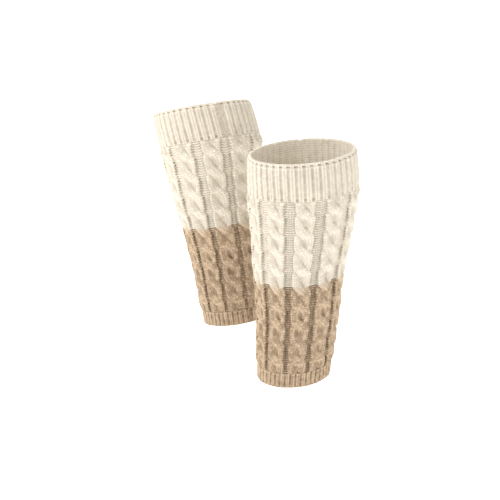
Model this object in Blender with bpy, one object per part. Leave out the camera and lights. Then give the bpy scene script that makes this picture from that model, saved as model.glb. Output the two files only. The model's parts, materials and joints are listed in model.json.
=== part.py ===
"""A pair of cable-knit boot cuffs, filled out as they are when worn.

Each cuff is one knitted tube in four zones, from the top down: a ribbed band, a pale cable-knit
zone, a darker cable-knit zone and a ribbed hem. The near cuff hangs round the origin, which is the
centre of its top opening. Z is up, the fronts of the cuffs face -X and the far cuff stands at +Y.

A point of a cuff is given by its distance down the knit, its turn round the tube and its lift off
the plain inside. Turn 0 faces -Y and turn 90 degrees faces +X. Sizes are in millimetres.
"""

import math
from collections import namedtuple

import bpy

MM = 0.001
SEAM_GAP = 0.3

# The knit chart, the same for both cuffs, measured down the cloth of the near cuff
REPEATS = 11
RIBS_PER_REPEAT = 4
BAND_END = 45.0
FIRST_CROSSING = 60.5
CROSSING_PITCH = 24.0
CROSSINGS = 9
CREAM_CROSSINGS = 4
HEM_LENGTH = 20.0
COLOUR_CHANGE = FIRST_CROSSING + CREAM_CROSSINGS * CROSSING_PITCH
CABLES_END = FIRST_CROSSING + (CROSSINGS - 0.25) * CROSSING_PITCH
CUFF_LENGTH = CABLES_END + HEM_LENGTH

# Thickness and relief of the knit
WALL = 2.4
RIB_RELIEF = 1.5
CABLE_RELIEF = 3.4
CROSSING_LIFT = 0.8
SEAM_RELIEF = 0.9

# The cast-on edge is a cord, with a notch where the seam joins its two ends
EDGE_CORD = 2.6
EDGE_GROOVE = 0.8
EDGE_RELIEF = 0.9
SEAM_NOTCH = 1.6

# A rib is one sunken wale at its start and end with two raised ones between. The rise to them
# takes this share of the rib.
RIB_RISE = 0.22

# A cable is two strands, each swinging from side to side. Its swing and half width are shares of
# the cable's half width, and it lies this much wider where it slants across.
STRAND_SWING = 0.45
STRAND_HALF_WIDTH = 0.55
STRAND_SLANT = 0.2
STRAND_ROUNDNESS = 2.2
STRAND_FULLNESS = 0.75
CABLE_RAMP = 8.0

# How far the colour change dips under each cable, and over what length that dies out
COLOUR_DIP = 2.0
COLOUR_DIP_REACH = 14.0

# The inside of a cuff at each level: centre and half sizes. The cable column is a cable's half
# width as a share of one repeat.
Section = namedtuple("Section", "down centre_x half_width half_depth cable")
SECTIONS = (
    Section(0, -0.6, 60.6, 56.5, 0.335),
    Section(25, 1.0, 62.1, 57.8, 0.335),
    Section(50, 2.2, 62.2, 58.0, 0.335),
    Section(75, 1.6, 59.0, 55.4, 0.342),
    Section(100, 0.6, 56.3, 53.2, 0.352),
    Section(125, -0.6, 53.4, 50.7, 0.362),
    Section(150, -1.7, 50.3, 48.0, 0.372),
    Section(180, -1.8, 47.6, 45.7, 0.380),
    Section(210, -2.7, 45.5, 44.0, 0.385),
    Section(240, -4.6, 43.8, 42.6, 0.390),
    Section(CUFF_LENGTH, -7.2, 41.8, 41.0, 0.390),
)

# Where each cuff stands and how it is worn. It leans about X and then about Y, in degrees, and is
# drawn out lengthwise. Its courses rise towards the back, at +X, and those near its mouth also
# rise towards -Y. A cable's middle faces the angle of turn, and the seam lies half a repeat past
# the cable of seam_cable, counted from there.
Cuff = namedtuple("Cuff", "name place lean_x lean_y draw rise_back mouth_rise turn seam_cable")
CUFFS = (
    Cuff("near", (0.0, 0.0, 0.0), 0.0, 0.0, 1.0, 0.085, 0.0, 0.0, 5),
    Cuff("far", (-126.0, 173.5, 13.0), -8.3, -11.1, 0.99, -0.028, 0.15, 4.0, 0),
)
MOUTH_RISE_REACH = 150.0

# Where the points of the walls lie: shares of a rib, shares of a cable's half width, counts
# round the inside, and distances down the knit
BAND_RIB_POINTS = (0.0, 0.25, 0.75)
HEM_RIB_POINTS = (0.0, 0.5)
CABLE_POINTS = (-1.0, -0.58, 0.0, 0.58, 1.0)
INNER_PER_REPEAT = 3
RIB_STEP = 21.0
CABLE_STEP = CROSSING_PITCH / 4
INNER_STEP = 25.0
SHARP_EDGE = math.radians(50)

CREAM = (0.87, 0.81, 0.72, 1.0)
TAUPE = (0.50, 0.37, 0.27, 1.0)
KNIT_ROUGHNESS = 0.95

REPEAT_ANGLE = 2 * math.pi / REPEATS
RIBS = REPEATS * RIBS_PER_REPEAT
RIB_ANGLE = 2 * math.pi / RIBS


def clear_scene():
    for obj in list(bpy.data.objects):
        bpy.data.objects.remove(obj)


def smooth(share):
    """An S-curve from 0 to 1."""
    share = min(max(share, 0.0), 1.0)
    return share * share * (3 - 2 * share)


def section_at(down):
    """The row of SECTIONS at this level, each column on a smooth curve through the table."""
    last = len(SECTIONS) - 2
    below = max(i for i, row in enumerate(SECTIONS[:-1]) if row.down <= max(down, 0.0))
    rows = [SECTIONS[min(max(i, 0), last + 1)] for i in range(below - 1, below + 3)]
    span = rows[2].down - rows[1].down
    t = (down - rows[1].down) / span
    values = []
    for a, b, c, d in zip(*rows):
        slope_b = (c - a) / max(rows[2].down - rows[0].down, span) * span
        slope_c = (d - b) / max(rows[3].down - rows[1].down, span) * span
        values.append(
            (2 * t**3 - 3 * t**2 + 1) * b
            + (t**3 - 2 * t**2 + t) * slope_b
            + (3 * t**2 - 2 * t**3) * c
            + (t**3 - t**2) * slope_c
        )
    return Section(*values)


def point(cuff, down, turn, lift):
    """A point of the cuff, in metres in its own frame."""
    section = section_at(down)
    across, along = math.sin(turn), -math.cos(turn)
    normal_x, normal_y = section.half_depth * across, section.half_width * along
    size = math.hypot(normal_x, normal_y)
    x = section.half_width * across + lift * normal_x / size
    y = section.half_depth * along + lift * normal_y / size
    mouth_rise = cuff.mouth_rise * smooth(1 - down / MOUTH_RISE_REACH)
    rise = cuff.rise_back * x - mouth_rise * y
    return ((section.centre_x + x) * MM, y * MM, (rise - down * cuff.draw) * MM)


def from_seam(cuff, turn):
    """The turn measured from the cuff's seam, from -pi to pi."""
    seam = (cuff.seam_cable + 0.5) * REPEAT_ANGLE
    return (turn - seam + math.pi) % (2 * math.pi) - math.pi


def rib_height(cuff, turn):
    """The lift of the ribs off the ground of the wall. The seam half fills its sunken wale."""
    share = (turn / RIB_ANGLE + 0.5 * RIBS_PER_REPEAT) % 1.0
    rib = RIB_RELIEF * smooth(min(share, 1 - share) / RIB_RISE)
    seam = SEAM_RELIEF * max(0.0, 1 - abs(from_seam(cuff, turn)) / (0.5 * RIB_ANGLE))
    return max(rib, seam)


def strand_height(away, half_width, top):
    """The height of a strand at this distance from its middle line."""
    reach = abs(away) / half_width
    if reach >= 1:
        return 0.0
    return top * (1 - reach**STRAND_ROUNDNESS) ** STRAND_FULLNESS


def crossing_phase(down):
    """From -0.5 to 0.5 through each crossing. Above the first one the strands run straight."""
    phase = (down - FIRST_CROSSING) / CROSSING_PITCH
    return -0.5 if phase < -0.5 else (phase + 0.5) % 1.0 - 0.5


def strand_half_width(phase):
    return STRAND_HALF_WIDTH * (1 + STRAND_SLANT * math.cos(math.pi * phase) ** 2)


def cable_height(down, across, half_width):
    """At each crossing the strand from the upper left passes over to the lower right."""
    phase = crossing_phase(down)
    swing = STRAND_SWING * math.sin(math.pi * phase) * half_width
    reach = strand_half_width(phase) * half_width
    lift = CROSSING_LIFT * math.cos(math.pi * phase)
    over = strand_height(across - swing, reach, CABLE_RELIEF + lift)
    under = strand_height(across + swing, reach, CABLE_RELIEF - lift)
    ends = smooth((down - BAND_END) / CABLE_RAMP) * smooth((CABLES_END - down) / CABLE_RAMP)
    low = RIB_RELIEF / CABLE_RELIEF
    return max(over, under) * (low + (1 - low) * ends)


def cable_spread(down):
    """How wide the two strands lie at this level, as a share of the cable's full width."""
    phase = crossing_phase(down)
    return STRAND_SWING * abs(math.sin(math.pi * phase)) + strand_half_width(phase)


def colour_dip(down, turn):
    """The courses near the colour change hang lower on the cables than between them."""
    near = math.exp(-(((down - COLOUR_CHANGE) / COLOUR_DIP_REACH) ** 2))
    return COLOUR_DIP * near * math.cos(REPEATS * turn)


def ring(cuff, down, turns, lifts):
    """One course of a wall, as points of the cuff in metres."""
    facing = math.radians(cuff.turn)
    return [
        point(cuff, down + colour_dip(down, turn), turn + facing, lift)
        for turn, lift in zip(turns, lifts)
    ]


def cable_ring(cuff, down):
    """A course of the cable-knit wall: a point between cables, then those across each cable."""
    full = section_at(down).cable
    spread = full * cable_spread(down)
    turns, lifts = [], []
    for repeat in range(REPEATS):
        gap = (repeat - 0.5) * REPEAT_ANGLE
        on_seam = abs(from_seam(cuff, gap)) < 0.5 * RIB_ANGLE
        turns.append(gap)
        lifts.append(WALL + (SEAM_RELIEF if on_seam else 0.0))
        for share in CABLE_POINTS:
            turns.append((repeat + share * spread) * REPEAT_ANGLE)
            lifts.append(WALL + cable_height(down, share * spread, full))
    return ring(cuff, down, turns, lifts)


def rib_ring(cuff, down, rib_points):
    """A course of a ribbed wall."""
    first = -0.5 * RIBS_PER_REPEAT
    turns = [(first + rib + share) * RIB_ANGLE for rib in range(RIBS) for share in rib_points]
    return ring(cuff, down, turns, [WALL + rib_height(cuff, turn) for turn in turns])


def edge_ring(cuff, down):
    """The cast-on cord at the top, seen from above."""
    turns = even_turns(RIBS * len(BAND_RIB_POINTS))
    notch_half_width = 0.2 * RIB_ANGLE
    facing = math.radians(cuff.turn)
    points = []
    for turn in turns:
        notch = SEAM_NOTCH if abs(from_seam(cuff, turn)) < notch_half_width else 0.0
        points.append(point(cuff, down + notch, turn + facing, WALL + EDGE_RELIEF))
    return points


def inner_ring(cuff, down, count):
    """A course of the plain inside."""
    return ring(cuff, down, even_turns(count), [0.0] * count)


def even_turns(count):
    """Even turns round the tube, from half a repeat before the middle of the first cable."""
    return [(i / count * REPEATS - 0.5) * REPEAT_ANGLE for i in range(count)]


def ring_levels(start, end, step):
    """Even levels from start to end, about step apart."""
    count = max(1, round((end - start) / step))
    return [start + (end - start) * i / count for i in range(count + 1)]


def knit_wall(name, outer, inner, colour):
    """A closed tube wall from its outer rings and its inner rings, both from the top down."""
    n_out, n_in = len(outer[0]), len(inner[0])
    base = n_out * len(outer)
    faces = []
    for row in range(len(outer) - 1):
        top, low = row * n_out, (row + 1) * n_out
        for a in range(n_out):
            b = (a + 1) % n_out
            faces.append((top + a, low + a, low + b))
            faces.append((top + a, low + b, top + b))
    for row in range(len(inner) - 1):
        top, low = base + row * n_in, base + (row + 1) * n_in
        for a in range(n_in):
            b = (a + 1) % n_in
            faces.append((top + a, top + b, low + b, low + a))
    top_rim = rim_faces(0, n_out, base, n_in)
    low_rim = rim_faces(n_out * (len(outer) - 1), n_out, base + n_in * (len(inner) - 1), n_in)
    faces += top_rim + [face[::-1] for face in low_rim]
    mesh = bpy.data.meshes.new(name)
    mesh.from_pydata([p for course in outer + inner for p in course], [], faces)
    mesh.shade_smooth()
    mesh.set_sharp_from_angle(angle=SHARP_EDGE)
    mesh.materials.append(colour)
    obj = bpy.data.objects.new(name, mesh)
    bpy.context.scene.collection.objects.link(obj)
    return obj


def rim_faces(out_start, n_out, in_start, n_in):
    """The faces that join an outer ring to the inner ring of fewer points beside it."""
    ratio = n_out // n_in
    middle = ratio // 2
    faces = []
    for a in range(n_in):
        b = (a + 1) % n_in
        fan = [out_start + (a * ratio + k) % n_out for k in range(ratio + 1)]
        faces += [(in_start + a, fan[k], fan[k + 1]) for k in range(middle)]
        faces += [(in_start + b, fan[k], fan[k + 1]) for k in range(middle, ratio)]
        faces.append((in_start + a, fan[middle], in_start + b))
    return faces


def ribbed_band(cuff, colour):
    """The band round the top: the cast-on cord over two-by-one ribs."""
    outer = [edge_ring(cuff, 0.0), edge_ring(cuff, EDGE_CORD)]
    levels = ring_levels(EDGE_CORD + EDGE_GROOVE, BAND_END, RIB_STEP)
    outer += [rib_ring(cuff, down, BAND_RIB_POINTS) for down in levels]
    inner = [inner_ring(cuff, down, RIBS) for down in ring_levels(0.0, BAND_END, INNER_STEP)]
    return knit_wall(f"{cuff.name}_band", outer, inner, colour)


def cable_zone(name, cuff, start, end, colour):
    """A stretch of the cable-knit body, with a course at each quarter of a crossing."""
    first = math.floor((start - FIRST_CROSSING) / CABLE_STEP) + 1
    last = math.ceil((end - FIRST_CROSSING) / CABLE_STEP) - 1
    between = [FIRST_CROSSING + i * CABLE_STEP for i in range(first, last + 1)]
    clear = [down for down in between if min(down - start, end - down) > 0.2 * CABLE_STEP]
    outer = [cable_ring(cuff, down) for down in [start] + clear + [end]]
    count = REPEATS * INNER_PER_REPEAT
    inner = [inner_ring(cuff, down, count) for down in ring_levels(start, end, INNER_STEP)]
    return knit_wall(f"{cuff.name}_{name}", outer, inner, colour)


def ribbed_hem(cuff, colour):
    """The plain ribbed end that is tucked out of sight."""
    start = CABLES_END + SEAM_GAP
    levels = ring_levels(start, CUFF_LENGTH, RIB_STEP)
    outer = [rib_ring(cuff, down, HEM_RIB_POINTS) for down in levels]
    inner = [inner_ring(cuff, down, RIBS) for down in levels]
    return knit_wall(f"{cuff.name}_hem", outer, inner, colour)


def knit_colour(name, colour):
    material = bpy.data.materials.new(name)
    material.use_nodes = True
    shader = material.node_tree.nodes["Principled BSDF"]
    shader.inputs["Base Color"].default_value = colour
    shader.inputs["Roughness"].default_value = KNIT_ROUGHNESS
    shader.inputs["Metallic"].default_value = 0.0
    material.diffuse_color = colour
    return material


def knit_cuff(cuff, cream, taupe):
    """One whole cuff, hung on an empty at the centre of its top opening."""
    holder = bpy.data.objects.new(f"{cuff.name}_cuff", None)
    bpy.context.scene.collection.objects.link(holder)
    holder.location = [size * MM for size in cuff.place]
    holder.rotation_euler = (math.radians(cuff.lean_x), math.radians(cuff.lean_y), 0.0)
    half = 0.5 * SEAM_GAP
    pieces = (
        ribbed_band(cuff, cream),
        cable_zone("upper", cuff, BAND_END + SEAM_GAP, COLOUR_CHANGE - half, cream),
        cable_zone("lower", cuff, COLOUR_CHANGE + half, CABLES_END, taupe),
        ribbed_hem(cuff, taupe),
    )
    for piece in pieces:
        piece.parent = holder


def main():
    clear_scene()
    cream = knit_colour("cream_knit", CREAM)
    taupe = knit_colour("taupe_knit", TAUPE)
    for cuff in CUFFS:
        knit_cuff(cuff, cream, taupe)


main()
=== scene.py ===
"""The yarn of a pair of cable-knit boot cuffs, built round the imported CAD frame.

Every wall is a closed grid whose rows are courses and whose columns are parts of wales, so a
Geometry Nodes tree can raise each stitch from two numbers: the wale and the course. Cables are
strands of their own that pass over and under each other. Lengths are in millimetres until a point
is placed in the frame, which is in metres.
"""

import json
import math
from collections import namedtuple

import bpy
import numpy as np
from bpy.props import FloatProperty, FloatVectorProperty, IntProperty, PointerProperty
from mathutils import Euler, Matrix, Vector

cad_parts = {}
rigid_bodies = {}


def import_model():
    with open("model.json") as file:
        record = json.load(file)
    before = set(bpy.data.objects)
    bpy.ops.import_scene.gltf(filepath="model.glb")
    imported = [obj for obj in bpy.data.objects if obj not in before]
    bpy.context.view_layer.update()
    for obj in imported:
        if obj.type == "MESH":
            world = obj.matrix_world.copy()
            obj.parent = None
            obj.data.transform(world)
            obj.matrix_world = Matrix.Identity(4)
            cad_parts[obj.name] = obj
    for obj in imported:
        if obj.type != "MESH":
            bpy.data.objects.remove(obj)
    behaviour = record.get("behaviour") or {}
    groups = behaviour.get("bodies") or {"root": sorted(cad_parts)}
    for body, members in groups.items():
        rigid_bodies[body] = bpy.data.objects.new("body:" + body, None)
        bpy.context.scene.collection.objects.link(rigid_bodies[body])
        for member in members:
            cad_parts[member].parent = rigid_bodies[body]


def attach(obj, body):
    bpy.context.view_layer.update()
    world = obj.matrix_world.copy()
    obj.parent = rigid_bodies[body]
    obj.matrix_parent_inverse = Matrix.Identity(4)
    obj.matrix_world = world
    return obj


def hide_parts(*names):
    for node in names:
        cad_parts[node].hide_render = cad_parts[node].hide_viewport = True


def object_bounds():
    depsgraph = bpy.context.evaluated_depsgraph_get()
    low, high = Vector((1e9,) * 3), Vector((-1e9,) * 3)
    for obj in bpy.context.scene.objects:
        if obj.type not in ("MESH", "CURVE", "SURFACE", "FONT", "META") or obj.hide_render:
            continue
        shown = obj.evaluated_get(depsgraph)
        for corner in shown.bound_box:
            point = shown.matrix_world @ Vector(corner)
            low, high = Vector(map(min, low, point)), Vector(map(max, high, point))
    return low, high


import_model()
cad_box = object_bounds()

bl_info = {
    "name": "Cable-knit boot cuffs",
    "version": (1, 0, 0),
    "blender": (4, 5, 0),
    "location": "3D View > Sidebar > Knit",
    "description": "Builds the stitches, cables, edges and fuzz of a pair of knitted boot cuffs",
    "category": "Add Mesh",
}

MM = 0.001

# The knit chart of the CAD part
REPEATS = 11
RIBS_PER_REPEAT = 4
BAND_END = 45.0
FIRST_CROSSING = 60.5
CROSSING_PITCH = 24.0
CROSSINGS = 9
CREAM_CROSSINGS = 4
HEM_LENGTH = 20.0
COLOUR_CHANGE = FIRST_CROSSING + CREAM_CROSSINGS * CROSSING_PITCH
CABLES_END = FIRST_CROSSING + (CROSSINGS - 0.25) * CROSSING_PITCH
CUFF_LENGTH = CABLES_END + HEM_LENGTH
REPEAT_ANGLE = 2 * math.pi / REPEATS
RIBS = REPEATS * RIBS_PER_REPEAT
RIB_ANGLE = 2 * math.pi / RIBS

# Thickness and relief of the knit, as in the CAD part
WALL = 2.4
RIB_RELIEF = 1.9
CABLE_RELIEF = 3.6
SEAM_RELIEF = 0.9
EDGE_CORD = 2.6
EDGE_RELIEF = 0.9
EDGE_START = 2.4
SEAM_NOTCH = 1.6
SEAM_STRIP = 0.5
RIB_RISE = 0.27
RIB_FLOOR = 0.09
WALE_CREASE = 0.7
STRAND_SWING = 0.46
STRAND_HALF_WIDTH = 0.55
STRAND_SLANT = 0.27
STRAND_ROUNDNESS = 2.2
STRAND_FULLNESS = 0.85
STRAND_CREST = 0.58
EYE_FALL = 0.82
CABLE_RAMP = 8.0
COLOUR_DIP = 2.0
COLOUR_DIP_REACH = 14.0
MOUTH_RISE_REACH = 150.0

Section = namedtuple("Section", "down centre_x half_width half_depth cable")
SECTIONS = np.array((
    Section(0, -0.6, 60.6, 56.5, 0.335),
    Section(25, 1.0, 62.1, 57.8, 0.335),
    Section(50, 2.2, 62.2, 58.0, 0.335),
    Section(75, 1.6, 59.0, 55.4, 0.342),
    Section(100, 0.6, 56.3, 53.2, 0.352),
    Section(125, -0.6, 53.4, 50.7, 0.362),
    Section(150, -1.7, 50.3, 48.0, 0.372),
    Section(180, -1.8, 47.6, 45.7, 0.380),
    Section(210, -2.7, 45.5, 44.0, 0.385),
    Section(240, -4.6, 43.8, 42.6, 0.390),
    Section(CUFF_LENGTH, -7.2, 41.8, 41.0, 0.390),
))

# The last three: how much wider the cables are above and below the colour change than in the CAD
# part, and how deep the holes in the middle of a gap are and how darkly they are painted with shade, as
# a share of those beside the cables
Cuff = namedtuple(
    "Cuff", "name place lean_x lean_y draw rise_back mouth_rise turn seam_cable seed"
    " fuller_above fuller_below gap_pit")
CUFFS = (
    Cuff("near", (0.0, 0.0, 0.0), 0.0, 0.0, 1.0, 0.085, 0.0, 0.0, 5, 3, 0.0, 0.10, 0.65),
    Cuff("far", (-126.0, 173.5, 13.0), -8.3, -11.1, 0.99, -0.028, 0.15, 4.0, 0, 8,
         0.07, 0.15, 0.4),
)

# Stitch sizes. A course is one row of stitches, and a crossing takes eight.
COURSE = CROSSING_PITCH / 8
STRAND_WALES = 4
GAP_WALES = 4
REPEAT_WALES = 2 * STRAND_WALES + GAP_WALES
PURL_SHARE = 0.34
V_DEPTH = 0.85
PURL_WAVE = 0.22

# Points of a grid across one stitch
KNIT_COLUMNS = 4
PURL_COLUMNS = 3
ROWS = 3
GAP_ROWS = 4
RIB_PURL_COLUMNS = 2

# How the cables lie, where the CAD's smooth relief is made sharper. The strands cross within this
# share of a pitch on each side of a crossing, and the under one dips beside the over one's edge.
CROSSING_REACH = 0.34
OVER_LIFT = 1.0
DIVE = 2.5
EMERGE = 0.9
DIP_WIDTH = 1.9
STRAND_FOOT = -0.9
FLANK_RISE = 0.5
COURSE_TILT = 0.5
CABLE_COLOUR_CHANGE = COLOUR_CHANGE - 1.5 * COURSE
GAP_CHEVRON = 0.35
FRINGE_END = (COLOUR_CHANGE - FIRST_CROSSING) / COURSE + 1.2

# Soft troughs across the cloth: down, turn, depth, reach down, reach round, slant
Trough = namedtuple("Trough", "down turn depth reach_down reach_round slant")
TROUGHS = {
    "near": (
        Trough(40, -35, 1.3, 16, 30, 0.25),
        Trough(58, 62, 1.1, 12, 26, -0.3),
        Trough(112, -70, 1.2, 14, 34, 0.2),
        Trough(138, 30, 0.8, 12, 22, -0.2),
        Trough(176, 75, 1.2, 13, 30, 0.3),
        Trough(205, -28, 1.0, 14, 26, 0.2),
        Trough(236, 48, 1.2, 12, 30, -0.25),
        Trough(30, 160, 1.4, 18, 34, 0.2),
        Trough(92, 205, 1.3, 14, 32, -0.3),
        Trough(160, 150, 1.4, 15, 36, 0.25),
        Trough(222, 190, 1.3, 13, 30, -0.2),
    ),
    "far": (
        Trough(34, 20, 1.2, 16, 28, -0.25),
        Trough(70, -48, 1.3, 13, 30, 0.3),
        Trough(104, 34, 1.1, 14, 26, 0.2),
        Trough(150, -62, 1.3, 14, 32, -0.25),
        Trough(186, 10, 1.0, 13, 26, 0.25),
        Trough(224, -40, 1.2, 14, 30, 0.2),
        Trough(48, 130, 1.4, 18, 36, 0.2),
        Trough(118, 200, 1.4, 15, 34, -0.25),
        Trough(190, 150, 1.3, 14, 32, 0.25),
    ),
}


# Settings

class KnitSettings(bpy.types.PropertyGroup):
    knit_height: FloatProperty(
        name="Knit height", description="How far a knit stitch stands out of the cloth",
        default=0.0007, min=0.0, max=0.003, unit="LENGTH")
    purl_height: FloatProperty(
        name="Purl height", description="How far a purl bump stands out of the cloth",
        default=0.0006, min=0.0, max=0.003, unit="LENGTH")
    pit_depth: FloatProperty(
        name="Pit depth", description="Depth of the small holes beside the cables and the edge",
        default=0.002, min=0.0, max=0.003, unit="LENGTH")
    unevenness: FloatProperty(
        name="Unevenness", description="How far single stitches stand higher or lower",
        default=0.0004, min=0.0, max=0.002, unit="LENGTH")
    seed: IntProperty(
        name="Seed", description="Picks another set of uneven stitches", default=4, min=0)


class EdgeSettings(bpy.types.PropertyGroup):
    loop_radius: FloatProperty(
        name="Loop radius", description="Radius of a cast-on loop",
        default=0.001, min=0.0003, max=0.005, unit="LENGTH")
    yarn_radius: FloatProperty(
        name="Yarn radius", description="Half the thickness of the yarn in the edges",
        default=0.0007, min=0.0002, max=0.003, unit="LENGTH")
    slant: FloatProperty(
        name="Slant", description="How far a loop leans along the edge",
        default=math.radians(32), subtype="ANGLE")
    seam_loop_radius: FloatProperty(
        name="Seam loop radius", description="Radius of a sewing stitch over the side seam",
        default=0.0018, min=0.0003, max=0.005, unit="LENGTH")
    seam_yarn_radius: FloatProperty(
        name="Seam yarn radius", description="Half the thickness of the sewing yarn",
        default=0.00045, min=0.0002, max=0.003, unit="LENGTH")


class FuzzSettings(bpy.types.PropertyGroup):
    density: FloatProperty(
        name="Density", description="Loose fibres on each square metre of the knit",
        default=10000.0, min=0.0, max=200000.0)
    length: FloatProperty(
        name="Length", description="Length of a loose fibre",
        default=0.004, min=0.0005, max=0.01, unit="LENGTH")
    radius: FloatProperty(
        name="Radius", description="Half the thickness of a loose fibre",
        default=0.00009, min=0.00001, max=0.0005, unit="LENGTH")
    seed: IntProperty(name="Seed", description="Picks other places for the fibres", default=11, min=0)


class YarnSettings(bpy.types.PropertyGroup):
    cream: FloatVectorProperty(
        name="Cream", description="Colour of the upper yarn", subtype="COLOR", size=3,
        min=0.0, max=1.0, default=(0.86, 0.795, 0.675))
    # Painted shade: the colour the upper yarn takes deep between stitches, where shade falls
    cream_painted_shade: FloatVectorProperty(
        name="Cream in the creases", description="Colour of the upper yarn deep between stitches",
        subtype="COLOR", size=3, min=0.0, max=1.0, default=(0.45, 0.37, 0.28))
    taupe: FloatVectorProperty(
        name="Taupe", description="Colour of the lower yarn", subtype="COLOR", size=3,
        min=0.0, max=1.0, default=(0.61, 0.465, 0.32))
    # Painted shade: the colour the lower yarn takes deep between stitches, where shade falls
    taupe_painted_shade: FloatVectorProperty(
        name="Taupe in the creases", description="Colour of the lower yarn deep between stitches",
        subtype="COLOR", size=3, min=0.0, max=1.0, default=(0.145, 0.085, 0.045))
    roughness: FloatProperty(
        name="Roughness", description="Roughness of the yarn", default=0.9, min=0.0, max=1.0,
        subtype="FACTOR")
    sheen: FloatProperty(
        name="Sheen", description="Soft light that the fine fibres catch", default=0.8, min=0.0,
        max=1.0, subtype="FACTOR")


class StageSettings(bpy.types.PropertyGroup):
    floor_drop: FloatProperty(
        name="Floor drop", description="How far the floor lies under the lowest stitches",
        default=0.14, min=0.0, max=1.0, unit="LENGTH")
    camera_place: FloatVectorProperty(
        name="Camera place", description="Where the camera stands", subtype="TRANSLATION",
        unit="LENGTH", size=3, default=(-0.0625, -1.4986, 0.3964))
    camera_pitch: FloatProperty(
        name="Camera pitch", description="How far the camera looks down",
        default=math.radians(19.2), subtype="ANGLE")
    lens: FloatProperty(
        name="Lens", description="Focal length of the camera in millimetres", default=93.3,
        min=10.0, max=500.0)


# Node trees, written as expressions

class Value:
    """A number or vector that varies over a node tree. Operators on it add Math nodes."""

    def __init__(self, plan, socket):
        self.plan = plan
        self.socket = socket

    def math(self, operation, *others):
        inputs = {i: value for i, value in enumerate((self, *others))}
        return self.plan.node("ShaderNodeMath", {"operation": operation}, inputs).out()

    def __add__(self, other):
        return self.math("ADD", other)

    def __sub__(self, other):
        return self.math("SUBTRACT", other)

    def __mul__(self, other):
        return self.math("MULTIPLY", other)

    def __truediv__(self, other):
        return self.math("DIVIDE", other)

    def __pow__(self, other):
        return self.math("POWER", other)

    def __rsub__(self, other):
        return self.plan.number(other).math("SUBTRACT", self)

    __radd__ = __add__
    __rmul__ = __mul__

    def fraction(self):
        return self.math("FRACT")

    def wave(self):
        """The sine of this many turns."""
        return (self * (2 * math.pi)).math("SINE")

    def arch(self):
        """0 at every whole number and 1 half-way between."""
        return (self * math.pi).math("SINE").math("ABSOLUTE")

    def clamped(self):
        return self.math("MAXIMUM", 0.0).math("MINIMUM", 1.0)


class Node:
    """One node of a tree."""

    def __init__(self, plan, node):
        self.plan = plan
        self.node = node

    def out(self, name=0):
        return Value(self.plan, self.node.outputs[name])


class Plan:
    """Adds nodes to a tree."""

    def __init__(self, tree):
        self.tree = tree

    def node(self, kind, settings=None, inputs=None):
        node = self.tree.nodes.new(kind)
        for name, value in (settings or {}).items():
            setattr(node, name, value)
        for name, value in (inputs or {}).items():
            self.feed(node.inputs[name], value)
        return Node(self, node)

    def feed(self, socket, value):
        if isinstance(value, Value):
            self.tree.links.new(value.socket, socket)
        else:
            socket.default_value = value

    def number(self, value):
        return self.node("ShaderNodeMath", {"operation": "ADD"}, {0: value, 1: 0.0}).out()

    def between(self, share, low, high):
        """A colour from low to high."""
        inputs = {0: share, 6: low, 7: high}
        return self.node("ShaderNodeMix", {"data_type": "RGBA"}, inputs).out(2)


def geometry_tree(name, sizes):
    """An empty Geometry Nodes tree with a geometry input, the named sizes and a material."""
    tree = bpy.data.node_groups.new(name, "GeometryNodeTree")
    tree.interface.new_socket("Geometry", in_out="OUTPUT", socket_type="NodeSocketGeometry")
    tree.interface.new_socket("Geometry", in_out="INPUT", socket_type="NodeSocketGeometry")
    for label, kind in sizes.items():
        tree.interface.new_socket(label, in_out="INPUT", socket_type=f"NodeSocket{kind}")
    tree.interface.new_socket("Material", in_out="INPUT", socket_type="NodeSocketMaterial")
    plan = Plan(tree)
    return plan, plan.node("NodeGroupInput")


def close_tree(plan, given, geometry):
    """Ends a tree: instances become real and take the material."""
    real = plan.node("GeometryNodeRealizeInstances", inputs={"Geometry": geometry}).out()
    inputs = {"Geometry": real, "Material": given.out("Material")}
    finished = plan.node("GeometryNodeSetMaterial", inputs=inputs).out()
    plan.node("NodeGroupOutput", inputs={"Geometry": finished})
    return plan.tree


def grown(obj, tree, sizes, name=None):
    """Runs a tree on an object and keeps the result as the object's plain mesh."""
    modifier = obj.modifiers.new(tree.name, "NODES")
    modifier.node_group = tree
    for item in tree.interface.items_tree:
        if item.in_out == "INPUT" and item.name in sizes:
            modifier[item.identifier] = sizes[item.name]
    depsgraph = bpy.context.evaluated_depsgraph_get()
    mesh = bpy.data.meshes.new_from_object(obj.evaluated_get(depsgraph), depsgraph=depsgraph)
    obj.modifiers.remove(modifier)
    before = obj.data
    obj.data = mesh
    if before.users == 0:
        bpy.data.meshes.remove(before)
    mesh.name = name or obj.name
    return obj


def attribute(plan, name):
    return plan.node(
        "GeometryNodeInputNamedAttribute", {"data_type": "FLOAT"}, {"Name": name}
    ).out("Attribute")


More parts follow.
